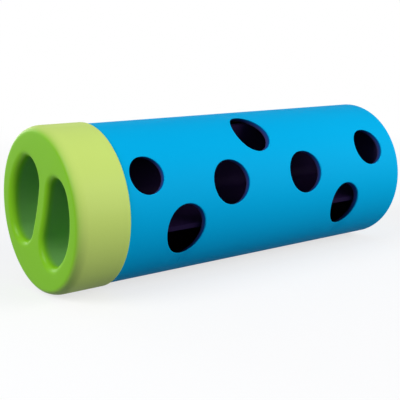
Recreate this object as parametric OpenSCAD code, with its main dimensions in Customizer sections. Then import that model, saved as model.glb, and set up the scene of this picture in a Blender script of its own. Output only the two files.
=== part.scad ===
// Treat dispensing roll: a perforated tube, a soft grip cap and a cross of vanes inside.
// The roll lies along X with its cap at -X. Its lowest point is at z = 0, its middle at x = 0.

/* [Tube] */
// Length of the whole roll, from the closed end to the crest of the cap's rim
roll_l = 188; // [170:1:210]
// Outside diameter of the tube
tube_d = 70; // [64:1:80]
// Thickness of the tube's wall
wall = 3; // [2.4:0.1:4]
// Thickness of the closed end
end_wall = 3.2; // [2.4:0.1:5]
// Rounding of the closed end's outer edge
end_edge_r = 1.2; // [0.5:0.1:2]
// Rounding of the corner inside the closed end
end_inner_r = 2; // [0.5:0.1:2.6]
// Length of the neck that the cap slips over
neck_l = 14; // [10:0.5:15]
// How far the neck steps in from the outside of the tube
neck_step = 1.4; // [1:0.1:1.8]
// Chamfer that leads the cap onto the neck
neck_chamfer = 0.7; // [0.3:0.1:0.9]

/* [Treat holes] */
// Direction in which the front holes are pulled, in degrees above level
hole_pull = 17.5; // [0:0.5:30]
// Diameter of the small hole
hole_small_d = 16.4; // [12:0.1:18]
// Diameter of the middle holes
hole_middle_d = 18.4; // [14:0.1:20]
// Diameter of the large holes
hole_large_d = 19.9; // [16:0.1:22]
// Plain wall between the cap and the first hole
hole_cap_gap = 2.7; // [2:0.1:8]
// Plain wall between the last hole and the closed end
hole_end_gap = 10.4; // [6:0.1:16]

/* [End cap] */
// Length of the cap, from the seam to the crest of its rim
cap_l = 23.8; // [22:0.2:30]
// How far the cap stands proud of the tube
cap_proud = 0.8; // [0.4:0.1:1.5]
// Rounding of the cap's outer edge
cap_edge_r = 7.6; // [5:0.1:9]
// Rounding of the crest of the rim
crest_r = 2.2; // [1.2:0.1:2.6]
// Distance from the outside of the cap to the crest
crest_inset = 2.9; // [2.7:0.1:3.6]
// Depth of the face below the crest
dish_depth = 1.2; // [0.6:0.1:2]
// Rounding between the face and the rim
dish_r = 2; // [1:0.1:3]
// Thickness of the cap's floor below the finger pockets
cap_floor = 3.6; // [2.4:0.1:5]
// Rounding of the cap's edge at the seam
seam_edge_r = 0.6; // [0.3:0.1:1]

/* [Finger pockets] */
// Depth of the pockets below the face
pocket_depth = 16; // [12:0.5:17]
// Distance from the crest of the rim to the pockets' outer wall
pocket_inset = 7.1; // [6:0.1:8]
// Thickness of the grip bar between the pockets
bar_w = 8.5; // [6:0.1:9.5]
// Rounding of the pockets' corners, seen from the face
pocket_corner_r = 8.9; // [7:0.1:10]
// Rounding of the pockets' edges along the bar
bar_edge_r = 2.4; // [1:0.1:2.8]
// Rounding of the pockets' edges along the rim
rim_edge_r = 3; // [2:0.1:3.6]
// Rounding of the pockets' floors
pocket_floor_r = 4; // [1:0.1:6]
// How far each pocket is slid along the bar: the back one down, the front one up
pocket_slide = 1.5; // [0:0.1:2.5]
// Lean of the grip bar from upright, in degrees
grip_tilt = 20; // [0:0.5:45]

/* [Vane insert] */
// Turn of the vanes and their key from the grip bar, in degrees
vane_turn = 4.5; // [0:0.5:6]
// Thickness of the vanes
vane_t = 2.2; // [1.6:0.1:2.6]
// Gap between the vanes' long edges and the tube
vane_gap = 0.4; // [0.2:0.1:1]
// Rounding of the vanes' corners
vane_corner_r = 4; // [3:0.1:6]
// Radius of the core where the vanes meet
core_r = 3.5; // [3.2:0.1:5]
// Radius of the spigot that turns in the closed end
spigot_r = 3; // [2:0.1:3.2]
// Length of the spigot
spigot_l = 6.4; // [4:0.1:9]
// Wall of the socket that takes the spigot
socket_wall = 3; // [2:0.1:4]
// Width of the key that sits in the grip bar
key_w = 36; // [24:1:38]
// Length of the key
key_l = 6.3; // [4:0.1:8]

/* [Clearances] */
// Radial clearance of the cap on the neck and of the spigot in its socket
fit = 0.05; // [0.02:0.01:0.1]
// Gap between faces that stop each other
stop_gap = 0.3; // [0.1:0.05:0.5]
// Gap at the seam between the cap and the tube
seam_gap = 0.1; // [0.05:0.05:0.3]
// Gap on each side of the key in its slot
key_gap = 0.15; // [0.1:0.05:0.2]

/* [Hidden] */
$fn = 96;
// How far a cutter reaches past the surface that it cuts
over = 1;

tube_r = tube_d / 2;
bore_r = tube_r - wall;
neck_r = tube_r - neck_step;
cap_r = tube_r + cap_proud;
// Distance from the cap's edge at the seam to the tube's closed end
body_l = roll_l - cap_l;
// Where the tube's bore ends, measured from the seam
bore_l = body_l - end_wall;
// The socket stands on the closed end, and its tip faces the cap
socket_bore_r = spigot_r + fit;
socket_r = socket_bore_r + socket_wall;
socket_l = spigot_l + stop_gap;

// Each treat hole: its share of the way from the first hole to the last, its angle above the
// pull line, in degrees, and its diameter
HOLES = [
    [0, 10, hole_small_d],
    [0.133, -30.5, hole_large_d],
    [0.32, -2, hole_large_d],
    [0.478, 35, hole_middle_d],
    [0.655, -2, hole_large_d],
    [0.856, -32, hole_middle_d],
    [1, 11.5, hole_middle_d],
];
first_hole = hole_cap_gap + HOLES[0][2] / 2;
last_hole = body_l - hole_end_gap - HOLES[len(HOLES) - 1][2] / 2;

// Heights in the cap are measured from the seam towards the crest
face_z = cap_l - dish_depth;
pocket_floor_z = face_z - pocket_depth;
cap_floor_z = pocket_floor_z - cap_floor;
groove_z = neck_l + stop_gap;
plug_r = bore_r - vane_gap;
// The rim: its crest is a small round that rolls into the large round of the outer edge
crest_pos = [cap_r - crest_inset, cap_l - crest_r];
edge_pos_r = cap_r - cap_edge_r;
edge_reach = cap_edge_r - crest_r;
edge_rise = sqrt(edge_reach ^ 2 - (crest_pos[0] - edge_pos_r) ^ 2);
edge_pos = [edge_pos_r, crest_pos[1] - edge_rise];
// The hollow inside the rim touches the face and the crest's round
hollow_rise = dish_r + face_z - crest_pos[1];
hollow_run = sqrt((crest_r + dish_r) ^ 2 - hollow_rise ^ 2);
hollow_pos = [crest_pos[0] - hollow_run, face_z + dish_r];
// The angles at which the outer edge rolls into the crest, and the crest into the hollow
crest_turn = atan2(edge_rise, crest_pos[0] - edge_pos_r);
hollow_turn = atan2(hollow_rise, -hollow_run);
// Largest turn between two points of an arc in the cap's section, in degrees
arc_turn = 12;

// The pocket's outline: a straight side along the bar, two corners and an arc about the axis
pocket_r = crest_pos[0] - pocket_inset;
corner_y = bar_w / 2 + pocket_corner_r;
corner_dist = pocket_r - pocket_corner_r;
corner_x = sqrt(corner_dist ^ 2 - corner_y ^ 2);
corner_turn = atan2(corner_x, corner_y);
// Steps round each corner, along the outer arc and up each quarter round of the pocket
corner_steps = 14;
arc_steps = 8;
round_steps = 4;
// The edge's round stops short of level, in degrees, so that it meets the face at an angle
edge_turn = 78;

// The vanes run from the cap's floor to the closed end
vane_r = bore_r - vane_gap;
vane_top = cap_floor_z - stop_gap;
vane_bottom = -bore_l + stop_gap;

// Stands its children on the seam: local z runs along the roll to the cap, local x points up
module from_seam() {
    translate([cap_l - roll_l / 2, 0, cap_r])
        rotate([0, -90, 0])
            children();
}

// A square corner at the origin with its inside rounded away, for cutting convex edges
module edge_cut(r) {
    difference() {
        square(r + over);
        circle(r);
    }
}

// Half section of the tube: the wall with its closed end, the stepped neck and the socket
module tube_section() {
    difference() {
        union() {
            translate([0, -body_l])
                square([tube_r, body_l - seam_gap]);
            translate([0, -body_l])
                square([neck_r, body_l + neck_l]);
        }
        translate([0, end_inner_r - bore_l])
            square([bore_r, bore_l - end_inner_r + neck_l + over]);
        translate([0, -bore_l])
            square([bore_r - end_inner_r, end_inner_r + over]);
        translate([bore_r - end_inner_r, end_inner_r - bore_l])
            circle(end_inner_r);
        translate([tube_r - end_edge_r, end_edge_r - body_l])
            mirror([0, 1])
                edge_cut(end_edge_r);
        translate([neck_r, neck_l])
            rotate(45)
                square(neck_chamfer * sqrt(2), center = true);
    }
    translate([socket_bore_r, -bore_l - end_wall / 2])
        square([socket_wall, socket_l + end_wall / 2]);
}

// One side's treat holes, all pulled in one direction through the curved wall
module treat_holes() {
    rotate([0, 0, hole_pull])
        for (hole = HOLES)
            translate([tube_r * sin(hole[1]), 0, -first_hole - hole[0] * (last_hole - first_hole)])
                rotate([90, 0, 0])
                    cylinder(d = hole[2], h = tube_r + over);
}

module roll_tube() {
    color([0.04, 0.66, 0.89])
        from_seam()
            difference() {
                rotate_extrude()
                    tube_section();
                treat_holes();
                rotate([0, 0, 180])
                    treat_holes();
            }
}

// Points along an arc about a centre, after one angle and up to another, in small equal turns
function arc(centre, r, from, to) = [
    let (steps = ceil(abs(to - from) / arc_turn))
    for (i = [1 : steps])
        let (turn = from + i * (to - from) / steps)
        centre + r * [cos(turn), sin(turn)]
];

// Half section of the cap: a rounded rim round a dished face, a plug and a groove for the neck
module cap_section() {
    polygon(concat(
        [[0, cap_floor_z], [plug_r, cap_floor_z], [plug_r, groove_z]],
        [[neck_r + fit, groove_z], [neck_r + fit, 0], [cap_r - seam_edge_r, 0]],
        arc([cap_r - seam_edge_r, seam_edge_r], seam_edge_r, -90, 0),
        [edge_pos + [cap_edge_r, 0]],
        arc(edge_pos, cap_edge_r, 0, crest_turn),
        arc(crest_pos, crest_r, crest_turn, hollow_turn),
        arc(hollow_pos, dish_r, hollow_turn - 180, -90),
        [[0, face_z]]
    ));
}

// Walks the pocket's outline, seen from the face: each stop is a point, the way out of the pocket
// there, and how far it lies from the bar towards the rim, from 0 to 1
function pocket_outline() = [
    for (i = [0 : corner_steps])
        let (turn = -90 + i * (180 - corner_turn) / corner_steps, out = [cos(turn), sin(turn)])
        [[corner_x, corner_y] + pocket_corner_r * out, out, i / corner_steps],
    for (i = [1 : arc_steps - 1])
        let (turn = 90 - corner_turn + i * 2 * corner_turn / arc_steps, out = [cos(turn), sin(turn)])
        [pocket_r * out, out, 1],
    for (i = [0 : corner_steps])
        let (turn = 90 + corner_turn + i * (180 - corner_turn) / corner_steps, out = [cos(turn), sin(turn)])
        [[-corner_x, corner_y] + pocket_corner_r * out, out, 1 - i / corner_steps],
];

// The pocket's section: at each stop on the way up, how far the wall stands out, and its height.
// The floor and the edge are quarter rounds, and the last stop clears the rim.
function pocket_section(edge_r) = [
    for (i = [0 : round_steps])
        let (turn = i * 90 / round_steps)
        [pocket_floor_r * (sin(turn) - 1), pocket_floor_z + pocket_floor_r * (1 - cos(turn))],
    for (i = [0 : round_steps])
        let (turn = i * edge_turn / round_steps)
        [edge_r * (1 - cos(turn)), face_z - edge_r * (1 - sin(turn))],
    [edge_r, face_z + dish_depth + over],
];

// One finger pocket, on the +y side of the bar: its section is carried round its outline
module finger_pocket() {
    outline = pocket_outline();
    count = len(outline);
    rings = len(pocket_section(bar_edge_r));
    points = [
        for (level = [0 : rings - 1], stop = outline)
            let (edge_r = bar_edge_r + (rim_edge_r - bar_edge_r) * stop[2])
            let (wall = pocket_section(edge_r)[level])
            concat(stop[0] + wall[0] * stop[1], wall[1])
    ];
    sides = [
        for (level = [0 : rings - 2], i = [0 : count - 1])
            let (low = level * count, high = low + count, next = (i + 1) % count)
            each [[low + i, high + next, low + next], [low + i, high + i, high + next]]
    ];
    floor_face = [for (i = [0 : count - 1]) i];
    top_face = [for (i = [count - 1 : -1 : 0]) (rings - 1) * count + i];
    polyhedron(points, concat([floor_face], sides, [top_face]));
}

module end_cap() {
    color([0.52, 0.75, 0.2])
        from_seam()
            rotate([0, 0, -grip_tilt])
                difference() {
                    rotate_extrude()
                        cap_section();
                    for (half_turn = [0, 180])
                        rotate([0, 0, half_turn])
                            translate([-pocket_slide, 0, 0])
                                finger_pocket();
                    rotate([0, 0, vane_turn])
                        translate([-key_w / 2 - key_gap, -vane_t / 2 - key_gap, cap_floor_z - over])
                            cube([key_w + 2 * key_gap, vane_t + 2 * key_gap, key_l + over]);
                }
}

// A plate with round corners that passes through the axis, as wide as the bore allows
module vane() {
    length = vane_top - vane_bottom;
    rotate([90, 0, 0])
        linear_extrude(vane_t, center = true) {
            translate([-vane_r + vane_corner_r, vane_bottom])
                square([2 * (vane_r - vane_corner_r), length]);
            translate([-vane_r, vane_bottom + vane_corner_r])
                square([2 * vane_r, length - 2 * vane_corner_r]);
            for (side = [-1, 1], z = [vane_bottom + vane_corner_r, vane_top - vane_corner_r])
                translate([side * (vane_r - vane_corner_r), z])
                    circle(vane_corner_r);
        }
}

module vane_insert() {
    socket_tip = socket_l - bore_l;
    color([0.2, 0.13, 0.3])
        from_seam()
            rotate([0, 0, vane_turn - grip_tilt]) {
                difference() {
                    union() {
                        vane();
                        rotate([0, 0, 90])
                            vane();
                        translate([-key_w / 2, -vane_t / 2, vane_top - over])
                            cube([key_w, vane_t, key_l + over]);
                        translate([0, 0, vane_bottom])
                            cylinder(r = core_r, h = vane_top - vane_bottom);
                    }
                    translate([0, 0, vane_bottom - over])
                        cylinder(r = socket_r + vane_gap, h = socket_tip + stop_gap - vane_bottom + over);
                }
                translate([0, 0, socket_tip - spigot_l])
                    cylinder(r = spigot_r, h = spigot_l + over);
            }
}

roll_tube();
end_cap();
vane_insert();
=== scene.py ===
# %% [markdown]
# # A dispensing roll
#
# The roll is a blue moulded tube with round holes, closed by a soft green cap that has two finger
# pockets. A dark purple cross of vanes inside slows down what falls to the holes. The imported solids
# give every size. Here they get the rounded edges and the finishes that make them look moulded.

# %% Load the frame
import math

import bmesh
import bpy
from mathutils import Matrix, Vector


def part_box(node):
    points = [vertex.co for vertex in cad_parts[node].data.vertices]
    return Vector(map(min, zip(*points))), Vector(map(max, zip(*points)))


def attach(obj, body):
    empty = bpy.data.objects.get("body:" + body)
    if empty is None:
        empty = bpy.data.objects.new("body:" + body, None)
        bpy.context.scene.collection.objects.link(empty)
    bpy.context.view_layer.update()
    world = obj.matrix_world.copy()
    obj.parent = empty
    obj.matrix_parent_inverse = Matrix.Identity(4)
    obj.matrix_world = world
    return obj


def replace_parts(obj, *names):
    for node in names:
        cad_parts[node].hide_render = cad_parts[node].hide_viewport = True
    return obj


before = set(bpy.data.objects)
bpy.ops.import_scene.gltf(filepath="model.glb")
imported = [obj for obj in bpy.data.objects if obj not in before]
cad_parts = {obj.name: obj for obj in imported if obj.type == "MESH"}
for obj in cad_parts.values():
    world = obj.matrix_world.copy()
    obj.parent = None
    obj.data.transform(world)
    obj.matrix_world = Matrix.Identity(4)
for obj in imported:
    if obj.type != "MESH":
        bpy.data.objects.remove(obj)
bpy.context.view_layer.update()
scene = bpy.context.scene

# %% [markdown]
# ## Sizes
#
# The boxes of the three solids say how long and how wide the pieces are. The other sizes are steps
# inwards from there: a wall, a neck, a gap. They are named once, because the finishes need some of them
# as well as the shapes. All are in millimetres: x runs along the roll, and a radius starts at its axis.

# %% Sizes of the roll
MM = 0.001
WALL, END_WALL, NECK_STEP = 3.0, 3.2, 1.4
# Gaps: in a push fit, at the seam, where a piece stops, beside the key, and round the vanes
FIT, SEAM_GAP, STOP_GAP, KEY_GAP, VANE_GAP = 0.05, 0.1, 0.3, 0.15, 0.4


def box_in_mm(node):
    """A node's lowest and highest corner, to a tenth of a millimetre."""
    return [[round(side / MM, 1) for side in corner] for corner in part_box(node)]


tube_low, tube_high = box_in_mm("roll_tube")
cap_low, cap_high = box_in_mm("end_cap")
insert_low, insert_high = box_in_mm("vane_insert")
NECK_TIP, CLOSED_END, TUBE_R = tube_low[0], tube_high[0], tube_high[1]
CREST_X, SEAM, CAP_R = cap_low[0], cap_high[0], cap_high[1]
KEY_END, SPIGOT_END = insert_low[0], insert_high[0]
AXIS_Z = CAP_R
BORE_R, NECK_R = TUBE_R - WALL, TUBE_R - NECK_STEP
BORE_END, SHOULDER = CLOSED_END - END_WALL, SEAM + SEAM_GAP
print("roll from", CREST_X, "to", CLOSED_END, "mm, tube radius", TUBE_R, "and cap radius", CAP_R)

# %% [markdown]
# ## The camera
#
# The camera comes first, because every later choice is judged through it. Its place is written as an
# aim point, a distance and two angles, in millimetres and degrees, which is easier to read than a
# location and a rotation. No lens shift is used, so views from other sides stay true.

# %% The camera
AIM = Vector((-9.0, 0.0, 30.3))
AIM_DISTANCE = 387.0
AZIMUTH, ELEVATION = math.radians(-37.0), math.radians(11.6)
LENS, SENSOR_WIDTH = 72.57, 36
NEAR_CLIP = 0.01


def towards(azimuth, elevation):
    """The direction from the object to a place at these angles."""
    level = math.cos(elevation)
    return Vector((math.sin(azimuth) * level, -math.cos(azimuth) * level, math.sin(elevation)))


def link(name, data):
    """A new object in the scene that shows this data."""
    made = bpy.data.objects.new(name, data)
    scene.collection.objects.link(made)
    return made


camera = link("portrait_camera", bpy.data.cameras.new("portrait_camera"))
camera.data.lens = LENS
camera.data.sensor_width = SENSOR_WIDTH
camera.data.clip_start = NEAR_CLIP
camera.location = (AIM + AIM_DISTANCE * towards(AZIMUTH, ELEVATION)) * MM
camera.rotation_euler = towards(AZIMUTH, ELEVATION).to_track_quat("Z", "Y").to_euler()
scene.camera = camera
print("camera at", [round(side / MM) for side in camera.location], "mm")

# %% [markdown]
# ## Shader sums in plain Python
#
# A finish is a small sum of patterns. Wiring it node by node is hard to read, so a Wire stands for one
# output socket, and adding or multiplying wires adds the Math nodes. Every other node comes from one
# method that takes its type, its settings and what goes into its sockets.

# %% Wires
class Wire:
    """A value or colour on its way through a material."""

    def __init__(self, tree, socket):
        self.tree = tree
        self.socket = socket

    def node(self, kind, settings=None, sockets=None, output=0):
        """Adds a node: its settings are set first, then its sockets get values or wires."""
        made = self.tree.nodes.new("ShaderNode" + kind)
        for name, value in (settings or {}).items():
            setattr(made, name, value)
        for name, value in (sockets or {}).items():
            if isinstance(value, Wire):
                self.tree.links.new(value.socket, made.inputs[name])
            else:
                made.inputs[name].default_value = value
        return Wire(self.tree, made.outputs[output] if made.outputs else None)

    def maths(self, operation, first, second):
        """A Math node on two values or wires."""
        return self.node("Math", {"operation": operation}, {0: first, 1: second})

    def __add__(self, other):
        return self.maths("ADD", self, other)

    def __radd__(self, other):
        return self.maths("ADD", other, self)

    def __sub__(self, other):
        return self.maths("SUBTRACT", self, other)

    def __rsub__(self, other):
        return self.maths("SUBTRACT", other, self)

    def __mul__(self, other):
        return self.maths("MULTIPLY", self, other)

    def __rmul__(self, other):
        return self.maths("MULTIPLY", other, self)

    def either(self, other):
        """The larger of two masks."""
        return self.maths("MAXIMUM", self, other)

    def between(self, low, high):
        """0 below low, 1 above high, and a smooth rise between them."""
        settings = {"interpolation_type": "SMOOTHSTEP"}
        return self.node("MapRange", settings, {"Value": self, "From Min": low, "From Max": high})

    def mix(self, first, second):
        """The first colour where this wire is 0, and the second where it is 1."""
        settings = {"data_type": "RGBA"}
        return self.node("Mix", settings, {"Factor": self, "A": first, "B": second}, output=2)


def new_finish(name):
    """An empty material, its node tree as a wire, and the object coordinates as another."""
    finish = bpy.data.materials.new(name)
    finish.use_nodes = True
    finish.node_tree.nodes.clear()
    desk = Wire(finish.node_tree, None)
    return finish, desk, desk.node("TexCoord", output="Object")


print("wires are ready")

# %% [markdown]
# ## The blue plastic
#
# The tube is moulded in one azure plastic with a satin skin. Seen close, the skin is a fine blasted
# grain, and the colour drifts a little where the melt flowed. An image could hold that, but it would
# need an unwrapped wall and would show its seam, so two noises do it: a broad one moves the colour and
# the gloss, and a fine one lifts the skin. In the holes and the bore the colour darkens to violet: this
# is painted shade, for the shade that falls inside the wall. A mask tells the outside from that: it is 1
# on the tube's skin, on the closed end and on the neck.

# %% Blue plastic
def colour(red, green, blue):
    """A screen colour, 0 to 255, as the linear colour that a shader takes."""
    shares = [part / 255 for part in (red, green, blue)]
    return tuple(s / 12.92 if s <= 0.04045 else ((s + 0.055) / 1.055) ** 2.4 for s in shares) + (1.0,)


def principled(desk, **sockets):
    """Ends a material with the Principled shader; underscores in socket names stand for spaces."""
    named = {name.replace("_", " "): value for name, value in sockets.items()}
    shader = desk.node("BsdfPrincipled", None, named)
    desk.node("OutputMaterial", None, {"Surface": shader})


def noise(desk, place, scale, detail=2.0):
    """A noise pattern; a larger scale is finer."""
    return desk.node("TexNoise", None, {"Vector": place, "Scale": scale, "Detail": detail})


def skin(desk, height, depth):
    """A bump from a height pattern, depth in millimetres."""
    return desk.node("Bump", None, {"Height": height, "Strength": 1.0, "Distance": depth * MM})


def distance_from_axis(desk, place):
    """How far a point of a piece lies from the roll's axis, in millimetres."""
    flat = desk.node("Mapping", None, {
        "Vector": place, "Location": (0, 0, -AXIS_Z), "Scale": (0, 1 / MM, 1 / MM)})
    return desk.node("VectorMath", {"operation": "LENGTH"}, {0: flat}, output="Value")


def along_roll(desk, place):
    """How far a point of a piece lies along the roll from its middle, in millimetres."""
    return 1 / MM * desk.node("SeparateXYZ", None, {"Vector": place}, output="X")


SKIN_DEPTH, SKIN_FADE = 0.7, 0.4

blue_plastic, desk, place = new_finish("blue_plastic")
drift = noise(desk, place, scale=14)
grain = noise(desk, place, scale=1600, detail=3)
reach = distance_from_axis(desk, place)
lengthwise = along_roll(desk, place)
skin_blue = drift.mix(colour(2, 164, 219), colour(4, 169, 224))
# Painted shade: inside the holes and the bore the blue darkens to violet towards the bore.
painted_shade_blue = reach.between(BORE_R, TUBE_R - SKIN_DEPTH).mix(colour(66, 58, 104), colour(14, 78, 150))
skin_mask = reach.between(TUBE_R - SKIN_DEPTH, TUBE_R - SKIN_DEPTH + SKIN_FADE)
end_mask = lengthwise.between(BORE_END + SKIN_FADE, BORE_END + 3 * SKIN_FADE)
neck_mask = reach.between(BORE_R + 0.5 * SKIN_FADE, BORE_R + 2.5 * SKIN_FADE)
neck_mask = neck_mask * (1 - lengthwise.between(SEAM - 2 * SKIN_FADE, SEAM))
principled(
    desk,
    Base_Color=skin_mask.either(end_mask.either(neck_mask)).mix(painted_shade_blue, skin_blue),
    Roughness=0.5 + 0.08 * drift,
    Specular_IOR_Level=0.01,
    Normal=skin(desk, grain, depth=0.012),
)
print("blue plastic:", len(blue_plastic.node_tree.nodes), "nodes")

# %% [markdown]
# ## The green rubber
#
# The cap is a soft rubber with a velvety skin that scatters light. Its band is painted paler than the
# face all round, a painted sheen for the broad highlight of the key light, and the pockets are painted a
# darker, bluer green, which is painted shade for the shade inside them. These could be separate
# materials, but then each would end in a hard line. Masks fade instead: the distance from the axis tells
# the band from the face, and the distance below the crest tells the pockets. A thin coat, weaker on the
# band, gives the pockets' lips their small highlights.

# %% Green rubber
BAND_START, BAND_FULL = CAP_R - 2.8, CAP_R - 0.1
POCKET_START, POCKET_FULL = CREST_X + 1.8, CREST_X + 5.4

green_rubber, desk, place = new_finish("green_soft_rubber")
drift = noise(desk, place, scale=22)
grain = noise(desk, place, scale=1100, detail=4)
band = distance_from_axis(desk, place).between(BAND_START, BAND_FULL)
pocket = along_roll(desk, place).between(POCKET_START, POCKET_FULL) * (1 - band)
face_green = drift.mix(colour(129, 198, 18), colour(134, 201, 24))
# Painted sheen: the band is paler all round, for the key light's broad highlight.
painted_sheen_green = drift.mix(colour(190, 214, 107), colour(194, 217, 113))
# Painted shade: the pockets are a darker, bluer green, for the shade inside them.
pocket_shade_green = colour(118, 175, 94)
principled(
    desk,
    Base_Color=pocket.mix(band.mix(face_green, painted_sheen_green), pocket_shade_green),
    Roughness=0.5 + 0.08 * drift,
    Specular_IOR_Level=0.05,
    Coat_Weight=0.24 - 0.16 * band,
    Coat_Roughness=0.3,
    Coat_IOR=1.5,
    Normal=skin(desk, grain, depth=0.02),
)
print("green rubber:", len(green_rubber.node_tree.nodes), "nodes")

# %% [markdown]
# ## The purple plastic
#
# The vanes inside are a deep purple, almost black in the shade. Long flow marks run down the blades,
# because the melt runs along them in the mould. A plain noise would look like cloud, so this one is
# stretched along the roll.

# %% Purple plastic
FLOW_STRETCH = 0.2

purple_plastic, desk, place = new_finish("purple_plastic")
stretched = desk.node("Mapping", None, {"Vector": place, "Scale": (FLOW_STRETCH, 1, 1)})
flow = noise(desk, stretched, scale=90, detail=3)
principled(
    desk,
    Base_Color=flow.mix(colour(24, 14, 42), colour(31, 20, 54)),
    Roughness=0.56 + 0.14 * flow,
    Specular_IOR_Level=0.03,
    Normal=skin(desk, flow, depth=0.03),
)
print("purple plastic:", len(purple_plastic.node_tree.nodes), "nodes")

# %% [markdown]
# ## The tube's wall
#
# The tube could be cut by booleans, but their long thin faces shade badly on a curved wall. It is spun
# from its half section instead, so that its wall is an even net of squares, and each hole is then
# worked into the net. The section starts in the middle of the closed end, runs along the outside to the
# neck, and comes back along the bore to the socket that takes the insert's spigot.

# %% The tube's half section
END_EDGE_R, BORE_CORNER_R, SHOULDER_EDGE_R, NECK_CHAMFER = 1.2, 2.0, 0.3, 0.7
SPIGOT_R, SPIGOT_LENGTH, SOCKET_WALL = 3.0, 6.4, 3.0
NET_START, NET_STEP, NET_COUNT = SHOULDER + 0.5, 1.2, 131
END_RINGS, BORE_END_RING = (0, 12, 22, 30), 18
LAST_RING, NECK_RING, NECK_BORE_RINGS = CLOSED_END - 3.6, SHOULDER - 5, (-80, -75)
SPIN_STEPS = 180
TUBE_MERGE = 1e-4

SOCKET_BORE_R = SPIGOT_R + FIT
SOCKET_R = SOCKET_BORE_R + SOCKET_WALL
SOCKET_TIP = BORE_END - SPIGOT_LENGTH - STOP_GAP


def arc(centre, radius, start, end, steps):
    """Points along an arc, both ends included, angles in degrees."""
    turns = [math.radians(start + (end - start) * i / steps) for i in range(steps + 1)]
    return [(centre[0] + radius * math.cos(t), centre[1] + radius * math.sin(t)) for t in turns]


net = [NET_START + NET_STEP * i for i in range(NET_COUNT + 1)]
shoulder_middle = (SHOULDER + SHOULDER_EDGE_R, TUBE_R - SHOULDER_EDGE_R)
tube_section = [(CLOSED_END, r) for r in END_RINGS]
tube_section += arc((CLOSED_END - END_EDGE_R, TUBE_R - END_EDGE_R), END_EDGE_R, 0, 90, 6)
tube_section += [(x, TUBE_R) for x in [LAST_RING, *reversed(net)]]
tube_section += arc(shoulder_middle, SHOULDER_EDGE_R, 90, 180, 3)
tube_section += [(SHOULDER, NECK_R), (NECK_RING, NECK_R), (NECK_TIP + NECK_CHAMFER, NECK_R)]
tube_section += [(NECK_TIP, NECK_R - NECK_CHAMFER), (NECK_TIP, BORE_R)]
tube_section += [(x, BORE_R) for x in [*NECK_BORE_RINGS, *net]]
tube_section += arc((BORE_END - BORE_CORNER_R, BORE_R - BORE_CORNER_R), BORE_CORNER_R, 90, 0, 5)
tube_section += [(BORE_END, BORE_END_RING), (BORE_END, SOCKET_R), (SOCKET_TIP, SOCKET_R)]
tube_section += [(SOCKET_TIP, SOCKET_BORE_R), (BORE_END, SOCKET_BORE_R), (BORE_END, 0)]


def spin_section(section, steps):
    """A bmesh of a half section spun once round the X axis, with its poles closed."""
    made = bmesh.new()
    points = [made.verts.new((x, 0, r)) for x, r in section]
    for first, second in zip(points, points[1:]):
        made.edges.new((first, second))
    bmesh.ops.spin(
        made, geom=made.verts[:] + made.edges[:], cent=(0, 0, 0), axis=(1, 0, 0), dvec=(0, 0, 0),
        angle=2 * math.pi, steps=steps, use_merge=True, use_normal_flip=False, use_duplicate=False)
    bmesh.ops.remove_doubles(made, verts=made.verts[:], dist=TUBE_MERGE)
    bmesh.ops.recalc_face_normals(made, faces=made.faces[:])
    return made


tube = spin_section(tube_section, SPIN_STEPS)
print("spun wall:", len(tube.faces), "faces")

# %% [markdown]
# ## The outlet holes
#
# All holes on one side are pulled out of the mould in one direction, so their walls are straight and
# parallel, and a hole low or high on the tube looks like a leaf. For each hole the squares inside it go.
# The ragged edges that are left on the outer and the inner wall are extruded onto the hole's circle, the
# two circles are bridged into the hole's wall, and their edges are bevelled. The same holes are made
# again on the back.

# %% Where the holes are
PULL = math.radians(17.5)
LARGE, MIDDLE, SMALL = 9.95, 9.2, 8.2
CAP_GAP, END_GAP = 2.7, 10.4
FIRST_HOLE, LAST_HOLE = SEAM + CAP_GAP + SMALL, CLOSED_END - END_GAP - MIDDLE
# Share of the way from the first hole to the last, degrees above the pull line, and radius
HOLES = [
    (0.0, 10.0, SMALL),
    (0.133, -30.5, LARGE),
    (0.32, -2.0, LARGE),
    (0.478, 35.0, MIDDLE),
    (0.655, -2.0, LARGE),
    (0.856, -32.0, MIDDLE),
    (1.0, 11.5, MIDDLE),
]
print("holes from x", round(FIRST_HOLE, 1), "to", round(LAST_HOLE, 1))

# %% Helpers for a hole
RAGGED_MARGIN, RING_MARGIN, WALL_MARGIN = 0.95, 0.65, 0.5


def from_axis(place):
    """Distance of a point from the axis."""
    return math.hypot(place.y, place.z)


def turn_from_pull(vert, pull):
    """The angle of a vertex round the axis, measured from the pull direction."""
    angle = math.atan2(vert.co.z, -vert.co.y) - pull
    return (angle + math.pi) % (2 * math.pi) - math.pi


def in_hole(vert, pull, middle, side, radius):
    """Whether a vertex of the wall has to make room for a hole."""
    if abs(vert.co.x - middle) >= radius or from_axis(vert.co) <= BORE_R - WALL_MARGIN:
        return False
    turn = turn_from_pull(vert, pull)
    offsets = [wall_r * math.sin(turn) - side for wall_r in (TUBE_R, BORE_R)]
    reach = min(math.hypot(vert.co.x - middle, offset) for offset in offsets)
    return abs(turn) < math.pi / 2 and reach < radius


def put_on_circle(verts, wall_r, pull, middle, side, radius):
    """Moves vertices of a wall straight outwards or inwards onto a hole's circle."""
    for vert in verts:
        offset = wall_r * math.sin(turn_from_pull(vert, pull))
        spoke = math.atan2(offset - side, vert.co.x - middle)
        turn = pull + math.asin((side + radius * math.sin(spoke)) / wall_r)
        vert.co = (middle + radius * math.cos(spoke), -wall_r * math.cos(turn), wall_r * math.sin(turn))


def extrude_ring(made, edges):
    """Extrudes a loop of edges and returns the new loop's vertices and edges."""
    new = bmesh.ops.extrude_edge_only(made, edges=edges)["geom"]
    verts = [part for part in new if isinstance(part, bmesh.types.BMVert)]
    return verts, [part for part in new if isinstance(part, bmesh.types.BMEdge) and part.is_boundary]


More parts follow.
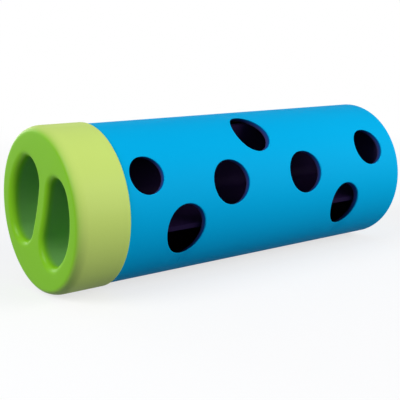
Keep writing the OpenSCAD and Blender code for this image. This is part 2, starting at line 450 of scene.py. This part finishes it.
def bevel_edges(made, edges, radius, segments):
    """Rounds edges of a bmesh."""
    bmesh.ops.bevel(
        made, geom=edges, offset=radius, offset_type="OFFSET", affect="EDGES", segments=segments,
        profile=0.5, clamp_overlap=True, material=-1)


def open_edges(made):
    """How many edges of a bmesh have only one face."""
    return sum(edge.is_boundary for edge in made.edges)


print("a large hole is about", round(2 * LARGE / NET_STEP), "squares of the net across")

# %% The outlet holes
OUTER_EDGE_R, INNER_EDGE_R = 0.2, 0.3


def open_hole(made, pull, share, angle, radius):
    """Works one hole into the net and returns its outer and its inner edge."""
    middle = FIRST_HOLE + share * (LAST_HOLE - FIRST_HOLE)
    side = TUBE_R * math.sin(math.radians(angle))
    inside = set()
    for vert in made.verts:
        if in_hole(vert, pull, middle, side, radius + RAGGED_MARGIN):
            inside.update(vert.link_faces)
    bmesh.ops.delete(made, geom=list(inside), context="FACES")
    rings = []
    ragged = [edge for edge in made.edges if edge.is_boundary]
    for wall_r in (TUBE_R, BORE_R):
        edges = [edge for edge in ragged if abs(from_axis(edge.verts[0].co) - wall_r) < WALL_MARGIN]
        for margin in (RING_MARGIN, 0):
            verts, edges = extrude_ring(made, edges)
            put_on_circle(verts, wall_r, pull, middle, side, radius + margin)
        rings.append(edges)
    bmesh.ops.bridge_loops(made, edges=rings[0] + rings[1])
    return rings


outer_edges, inner_edges = [], []
for pull in (PULL, PULL + math.pi):
    for hole in HOLES:
        outer, inner = open_hole(tube, pull, *hole)
        outer_edges += outer
        inner_edges += inner
bevel_edges(tube, outer_edges, OUTER_EDGE_R, segments=3)
bevel_edges(tube, inner_edges, INNER_EDGE_R, segments=2)
bmesh.ops.recalc_face_normals(tube, faces=tube.faces[:])
print("perforated wall:", len(tube.faces), "faces, open edges:", open_edges(tube))

# %% [markdown]
# A finished bmesh becomes an object in the same way for every piece: it is moved from its own axis to
# the roll's, scaled to metres, shaded smooth with sharp corners kept, and tied to its body. The scale
# goes into the mesh and not onto the object, so that the object stays at the origin.

# %% From bmesh to piece
SHARP = math.radians(38)


def finish_piece(made, name, material, body, node):
    """Turns a bmesh in millimetres into a piece that stands for a node."""
    bmesh.ops.translate(made, vec=(0, 0, AXIS_Z), verts=made.verts[:])
    bmesh.ops.scale(made, vec=(MM, MM, MM), verts=made.verts[:])
    for face in made.faces:
        face.smooth = True
    mesh = bpy.data.meshes.new(name)
    made.to_mesh(mesh)
    made.free()
    mesh.set_sharp_from_angle(angle=SHARP)
    mesh.materials.append(material)
    piece = link(name, mesh)
    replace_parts(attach(piece, body), node)
    triangles = sum(len(face.vertices) - 2 for face in mesh.polygons)
    print(name, "has", triangles, "triangles and measures", [round(s / MM, 2) for s in piece.dimensions])


finish_piece(tube, "perforated_tube", blue_plastic, "tube", "roll_tube")

# %% [markdown]
# ## The cap's face
#
# The face is a dish with two finger pockets and a full round bar between them. Pockets cut out of a
# solid would have hard lips that are difficult to round evenly, so each pocket is one loop of edges,
# extruded ring by ring: up from the floor, over its soft edge and out to the crest of the rim or to the
# middle of the bar. Each vertex keeps the number of its stop on the outline, so that a ring is laid out
# by asking where each stop has got to. Heights are measured from the seam.

# %% The pocket's outline
CREST_INSET, DISH_DEPTH = 2.9, 1.2
POCKET_INSET, POCKET_DEPTH, CORNER_R, BAR = 7.1, 16.0, 8.9, 8.5
BAR_STEPS, LEAN_STEPS, CORNER_STEPS, ARC_STEPS = 10, 16, 24, 24

CREST_R, CREST_TOP = CAP_R - CREST_INSET, SEAM - CREST_X
FACE = CREST_TOP - DISH_DEPTH
FLOOR = FACE - POCKET_DEPTH
POCKET_R = CREST_R - POCKET_INSET
corner_across = BAR / 2 + CORNER_R
corner_along = math.sqrt((POCKET_R - CORNER_R) ** 2 - corner_across ** 2)
corner_end = math.degrees(math.atan2(corner_across, corner_along))
junction = math.degrees(math.atan2(-corner_across, CREST_R - corner_along))


def steps_between(start, end, count):
    """Values from start up to, but not including, end."""
    return [start + (end - start) * i / count for i in range(count)]


def way_at(turn):
    """The direction at an angle on the face, in degrees from the bar's line."""
    return Vector((math.cos(math.radians(turn)), math.sin(math.radians(turn))))


def flipped(way):
    """The same direction or point at the other end of the bar."""
    return Vector((-way.x, way.y))


def outline_stops():
    """Each stop of a pocket's outline: its point, its way out, and its share from bar to rim."""
    turns = steps_between(-90, junction, LEAN_STEPS) + steps_between(junction, corner_end, CORNER_STEPS)
    right = []
    for turn in turns:
        point = Vector((corner_along, corner_across)) + CORNER_R * way_at(turn)
        right.append((point, way_at(turn), (turn + 90) / (corner_end + 90)))
    rim = []
    for turn in steps_between(corner_end, 180 - corner_end, ARC_STEPS) + [180 - corner_end]:
        rim.append((POCKET_R * way_at(turn), way_at(turn), 1.0))
    left = [(flipped(point), flipped(out), share) for point, out, share in reversed(right)]
    bar = [(Vector((along, BAR / 2)), Vector((0, -1)), 0.0)
           for along in steps_between(-corner_along, corner_along, BAR_STEPS)[1:]]
    return right + rim + left + bar


stops = outline_stops()
print("pocket outline:", len(stops), "stops")

# %% [markdown]
# The height of the dish depends only on the distance from the axis: level in the middle, then up a
# gentle slope to the crest. A pocket's edge takes a quarter round away from that height.

# %% The pocket's rings
SLIDE = 1.5
FLOOR_ROUND, BAR_ROUND, RIM_ROUND = 4.0, 2.4, 3.0
FLOOR_STEPS, WALL_STEPS, EDGE_STEPS = 6, 4, 16
LEVEL_WAY = -1e-6


def dish_height(r):
    """Height of the face above the seam at a distance from the axis."""
    share = min(r / CREST_R, 1)
    return FACE + (CREST_TOP - FACE) * share ** 2 * (3 - 2 * share)


def way_to_border(point, out):
    """Distance from the outline to the middle of the bar or to the crest, whichever comes first."""
    along = point.dot(out)
    to_crest = -along + math.sqrt(along ** 2 - point.length_squared + CREST_R ** 2)
    to_bar = point.y / -out.y if out.y < LEVEL_WAY else to_crest
    return min(to_crest, to_bar)


def ring_place(stop, level):
    """Where a stop is on a ring: across the face, and its height above the seam."""
    point, out, share = stop
    wall = point - Vector((SLIDE, 0))
    edge_r = BAR_ROUND + (RIM_ROUND - BAR_ROUND) * share
    if level <= FLOOR_STEPS:
        turn = math.radians(90 * level / FLOOR_STEPS)
        place = wall + FLOOR_ROUND * (math.sin(turn) - 1) * out
        return place, FLOOR + FLOOR_ROUND * (1 - math.cos(turn))
    top = dish_height(wall.length) - edge_r
    if level <= FLOOR_STEPS + WALL_STEPS:
        share_up = (level - FLOOR_STEPS) / WALL_STEPS
        low = FLOOR + FLOOR_ROUND
        return wall, low + share_up * (top - low)
    border = point + way_to_border(point, out) * out
    place = wall.lerp(border, ((level - FLOOR_STEPS - WALL_STEPS) / EDGE_STEPS) ** 2)
    short = max(edge_r - (place - wall).dot(out), 0)
    return place, dish_height(place.length) - edge_r + math.sqrt(edge_r ** 2 - short ** 2)


print("dish at a pocket's far edge:", round(dish_height(POCKET_R), 2), "mm above the seam")

# %% One pocket
BAR_LEAN = math.radians(20)
FLOOR_INSET = 0.6


def cap_point(place, height, lean=BAR_LEAN):
    """From the face, along and across the bar, to the roll: the bar leans to the front."""
    up = place.x * math.cos(lean) + place.y * math.sin(lean)
    back = place.y * math.cos(lean) - place.x * math.sin(lean)
    return Vector((SEAM - height, back, up))


cap = bmesh.new()
stop_layer = cap.verts.layers.int.new("stop")
floor_loop = []
for number, stop in enumerate(stops):
    place, height = ring_place(stop, 0)
    vert = cap.verts.new(cap_point(place - FLOOR_INSET * stop[1], height))
    vert[stop_layer] = number
    floor_loop.append(vert)
edges = cap.faces.new(floor_loop).edges[:]
for level in range(FLOOR_STEPS + WALL_STEPS + EDGE_STEPS + 1):
    verts, edges = extrude_ring(cap, edges)
    for vert in verts:
        vert.co = cap_point(*ring_place(stops[vert[stop_layer]], level))
print("one pocket:", len(cap.faces), "faces")

# %% [markdown]
# The second pocket is the first one turned half round the axis. The two meet along the bar, and what is
# left open is the crest of the rim. A separate spun rim would have to be sewn on, so that loop is
# extruded on instead: round the outer edge, down the side, up and down the groove that the tube's neck
# slips into, and across the underside. There it closes in on the slot for the insert's key.

# %% The cap's rim
CREST_ROUND, EDGE_R, SEAM_EDGE_R, CAP_FLOOR = 2.2, 7.6, 0.6, 3.6
SIDE_RINGS, GROOVE_RING, UNDERSIDE_RING = (16, 12, 8, 4, 1.2), 7, 24
CAP_MERGE = 1e-3

GROOVE_R, GROOVE_TOP = NECK_R + FIT, SEAM - NECK_TIP + STOP_GAP
PLUG_R, UNDERSIDE = BORE_R - VANE_GAP, FLOOR - CAP_FLOOR

bmesh.ops.spin(
    cap, geom=cap.verts[:] + cap.edges[:] + cap.faces[:], cent=(0, 0, 0), axis=(1, 0, 0),
    dvec=(0, 0, 0), angle=math.pi, steps=1, use_merge=False, use_normal_flip=False, use_duplicate=True)
bmesh.ops.remove_doubles(cap, verts=cap.verts[:], dist=CAP_MERGE)

crest_low = CREST_TOP - CREST_ROUND
edge_middle_r = CAP_R - EDGE_R
edge_rise = math.sqrt((EDGE_R - CREST_ROUND) ** 2 - (CREST_R - edge_middle_r) ** 2)
roll_over = math.degrees(math.atan2(edge_rise, CREST_R - edge_middle_r))
rim_section = arc((CREST_R, crest_low), CREST_ROUND, 90, roll_over, 8)[1:]
rim_section += arc((edge_middle_r, crest_low - edge_rise), EDGE_R, roll_over, 0, 6)[1:]
rim_section += [(CAP_R, height) for height in SIDE_RINGS]
rim_section += arc((CAP_R - SEAM_EDGE_R, SEAM_EDGE_R), SEAM_EDGE_R, 0, -90, 4)
rim_section += [(GROOVE_R, 0), (GROOVE_R, GROOVE_RING), (GROOVE_R, GROOVE_TOP), (PLUG_R, GROOVE_TOP)]
rim_section += [(PLUG_R, UNDERSIDE), (UNDERSIDE_RING, UNDERSIDE)]
edges = [edge for edge in cap.edges if edge.is_boundary]
for r, height in rim_section:
    verts, edges = extrude_ring(cap, edges)
    for vert in verts:
        turn = math.atan2(vert.co.z, vert.co.y)
        vert.co = (SEAM - height, r * math.cos(turn), r * math.sin(turn))
print("rim:", len(cap.faces), "faces")

# %% The key's slot
VANE_HALF, KEY_HALF, KEY_LEAN = 1.1, 18.0, math.radians(15.5)
SLOT_HALF, SLOT_WIDE = KEY_HALF + KEY_GAP, VANE_HALF + KEY_GAP
KEY_TOP = SEAM - KEY_END
SLOT_TOP = KEY_TOP + STOP_GAP
SLOT_OVERSHOOT, SLOT_STEEPNESS = 1.04, 40


def squared(share):
    """Cuts a wave off at 1 and -1, which squares a circle into a slot."""
    return max(-1, min(1, share))


for height in (UNDERSIDE, SLOT_TOP):
    verts, edges = extrude_ring(cap, edges)
    for vert in verts:
        turn = math.atan2(vert.co.z, vert.co.y) - math.pi / 2 - KEY_LEAN
        along = SLOT_HALF * squared(SLOT_OVERSHOOT * math.cos(turn))
        across = SLOT_WIDE * squared(SLOT_STEEPNESS * math.sin(turn))
        vert.co = cap_point(Vector((along, -across)), height, KEY_LEAN)
bmesh.ops.contextual_create(cap, geom=edges)
bmesh.ops.remove_doubles(cap, verts=cap.verts[:], dist=CAP_MERGE)
bmesh.ops.recalc_face_normals(cap, faces=cap.faces[:])
print("cap:", len(cap.faces), "faces, open edges:", open_edges(cap))
finish_piece(cap, "grip_cap", green_rubber, "cap", "end_cap")

# %% [markdown]
# ## The vane insert
#
# The insert is moulded in one piece: four vanes that meet in coved corners, a key for the cap on one
# end and a spigot on the other. Boxes joined to a rod would leave walls inside it. Its section is drawn
# once instead, as a few faces that share their corners: the key's strip, the two lobes beside it and
# the arms. All of them are extruded down the roll, and then only some of them further.

# %% The vanes' section
VANE_TIP, COVE = BORE_R - VANE_GAP, SOCKET_R + VANE_GAP
VANE_TOP, VANE_END = UNDERSIDE - STOP_GAP, SEAM - SPIGOT_END
COVE_STEPS = 8
SPOT_DIGITS = 4

insert = bmesh.new()
corners = {}


def section_face(points):
    """A face of the section from points along and across the key; shared corners stay shared."""
    verts = []
    for along, across in points:
        spot = (round(along, SPOT_DIGITS), round(across, SPOT_DIGITS))
        if spot not in corners:
            corners[spot] = insert.verts.new(cap_point(Vector(spot), VANE_TOP, KEY_LEAN))
        verts.append(corners[spot])
    return insert.faces.new(verts)


def arm(start, end, turned=False):
    """One arm's face, from a distance along the key to another, or across it where it is turned."""
    points = [(start, -VANE_HALF), (end, -VANE_HALF), (end, VANE_HALF), (start, VANE_HALF)]
    return section_face([(across, along) for along, across in points] if turned else points)


def lobe(side):
    """The coved middle on one side of the key, with room for an arm."""
    right = arc((COVE, COVE), COVE - VANE_HALF, 270, 180, COVE_STEPS)
    points = right + [(-along, across) for along, across in reversed(right)]
    return section_face([(along, side * across) for along, across in points])


key_faces = [arm(-COVE, COVE), arm(COVE, KEY_HALF), arm(-COVE, -KEY_HALF)]
for side in (1, -1):
    arm(side * KEY_HALF, side * VANE_TIP)
    arm(side * COVE, side * VANE_TIP, turned=True)
    lobe(side)
print("section:", len(insert.faces), "faces")

# %% [markdown]
# The first push leaves its starting faces as the insert's near end; every later one takes them away, so
# that no wall is left inside. The pushed faces are told apart by how far their middle lies from the
# axis: the arms run on past the middle, which stops at the socket and carries the spigot.

# %% Extrude the insert
SOCKET_STOP = SEAM - SOCKET_TIP + STOP_GAP
SPIGOT_INSET = 0.3


def push_faces(made, faces, height, leave_end=False):
    """Extrudes faces along the roll to a height above the seam, and returns the moved faces."""
    new = bmesh.ops.extrude_face_region(made, geom=faces)["geom"]
    for part in new:
        if isinstance(part, bmesh.types.BMVert):
            part.co.x = SEAM - height
    if not leave_end:
        bmesh.ops.delete(made, geom=faces, context="FACES")
    return [part for part in new if isinstance(part, bmesh.types.BMFace)]


far_faces = push_faces(insert, insert.faces[:], SOCKET_STOP, leave_end=True)
middle = [face for face in far_faces if from_axis(face.calc_center_median()) < COVE]
push_faces(insert, [face for face in far_faces if face not in middle], VANE_END)
push_faces(insert, key_faces, KEY_TOP)
middle = bmesh.ops.dissolve_faces(insert, faces=middle)["region"]
bmesh.ops.inset_region(insert, faces=middle, thickness=SPIGOT_INSET, use_even_offset=False)
for vert in middle[0].verts:
    vert.co *= Vector((1, 0, 0)) + Vector((0, 1, 1)) * SPIGOT_R / from_axis(vert.co)
push_faces(insert, middle, VANE_END)
bmesh.ops.recalc_face_normals(insert, faces=insert.faces[:])
print("pushed:", len(insert.faces), "faces, open edges:", open_edges(insert))

# %% [markdown]
# Last come the rounds: large ones on the vanes' corners, and small ones on every edge that the mould
# leaves.

# %% Round the insert
CORNER_ROUND, EDGE_ROUND = 4.0, 0.6
TIP_MARGIN, HARD_EDGE = 0.1, math.radians(60)


def at_tip(edge):
    """Whether an edge runs across the tip of a vane, at one of its ends."""
    outside = all(from_axis(vert.co) > VANE_TIP - TIP_MARGIN for vert in edge.verts)
    return outside and edge.calc_length() < 3 * VANE_HALF


def is_hard(edge):
    """Whether an edge is a sharp outer corner."""
    return edge.is_convex and edge.calc_face_angle(0) > HARD_EDGE


bevel_edges(insert, [edge for edge in insert.edges if at_tip(edge)], CORNER_ROUND, segments=8)
bevel_edges(insert, [edge for edge in insert.edges if is_hard(edge)], EDGE_ROUND, segments=3)
bmesh.ops.recalc_face_normals(insert, faces=insert.faces[:])
print("rounded:", len(insert.faces), "faces, open edges:", open_edges(insert))
finish_piece(insert, "vane_cross", purple_plastic, "insert", "vane_insert")

# %% [markdown]
# ## Floor and light
#
# The roll lies on a plain white floor. A floor that is only lit would turn grey towards its edges. A
# camera ray, or one by way of a mirror or glass, therefore sees it mostly as glowing white paper, so the
# background is clean, and near the roll a share of real diffuse keeps the soft shadow. Every other ray
# meets a darker floor, which keeps the underside of the roll deep.

# %% Floor
FLOOR_SIZE = 6.0
BOUNCE, PAPER, WHITE = (0.11, 0.14, 0.2, 1), (0.96, 0.96, 0.96, 1), (1, 1, 1, 1)
SHADOW_SHARE, SHADOW_NEAR, SHADOW_FAR = 0.3, 0.15, 0.6


def seen_as_background(desk):
    """1 for the rays that show the background, and 0 for those that only light the roll."""
    rays = [desk.node("LightPath", output=name) for name in (
        "Is Camera Ray", "Is Glossy Ray", "Is Transmission Ray")]
    return rays[0].either(rays[1]).either(rays[2])


white_floor, desk, place = new_finish("white_floor")
seen = seen_as_background(desk)
span = desk.node("VectorMath", {"operation": "LENGTH"}, {0: place}, output="Value")
plain = (1 - SHADOW_SHARE) + SHADOW_SHARE * span.between(SHADOW_NEAR, SHADOW_FAR)
paper = desk.node("BsdfDiffuse", None, {"Color": seen.mix(BOUNCE, PAPER)})
glow = desk.node("Emission", None, {"Color": WHITE, "Strength": 1.0})
mixed = desk.node("MixShader", None, {"Fac": seen * plain, 1: paper, 2: glow})
desk.node("OutputMaterial", None, {"Surface": mixed})

floor_sheet = bmesh.new()
bmesh.ops.create_grid(floor_sheet, x_segments=1, y_segments=1, size=FLOOR_SIZE)
floor_mesh = bpy.data.meshes.new("floor")
floor_sheet.to_mesh(floor_mesh)
floor_sheet.free()
floor_mesh.materials.append(white_floor)
link("floor", floor_mesh)
print("floor is down")

# %% [markdown]
# Three soft panels light the roll, as in a small studio. The key is large, a little warm, and stands in
# front on the closed end's side. A second one faces the cap from above, and a third lifts the back. The
# room itself adds a cool fill, so that the shade is bluer than the light.

# %% Light
FILL_LEVEL, FILL_TINT = 0.28, (0.86, 0.94, 1.15, 1)
WARM, NEUTRAL = (1.0, 0.95, 0.87), (1.0, 1.0, 1.0)


def panel(name, azimuth, elevation, distance, size, power, tint):
    """A square soft light that faces the middle of the roll."""
    lamp = bpy.data.lights.new(name, "AREA")
    lamp.energy = power
    lamp.color = tint
    lamp.size = size
    way = towards(math.radians(azimuth), math.radians(elevation))
    made = link(name, lamp)
    made.location = way * distance + Vector((0, 0, AXIS_Z * MM))
    made.rotation_euler = way.to_track_quat("Z", "Y").to_euler()


panel("key_panel", azimuth=38, elevation=19, distance=0.9, size=0.7, power=8.2, tint=WARM)
panel("cap_panel", azimuth=-86, elevation=34, distance=0.9, size=0.5, power=5.0, tint=NEUTRAL)
panel("back_panel", azimuth=-172, elevation=5, distance=1.0, size=0.6, power=4.0, tint=NEUTRAL)

world = bpy.data.worlds.new("studio")
scene.world = world
world.use_nodes = True
world.node_tree.nodes.clear()
desk = Wire(world.node_tree, None)
seen = seen_as_background(desk)
backdrop = desk.node("Background", None, {
    "Color": seen.mix(FILL_TINT, WHITE), "Strength": FILL_LEVEL + (1 - FILL_LEVEL) * seen})
desk.node("OutputWorld", None, {"Surface": backdrop})
scene.view_settings.view_transform = "Standard"
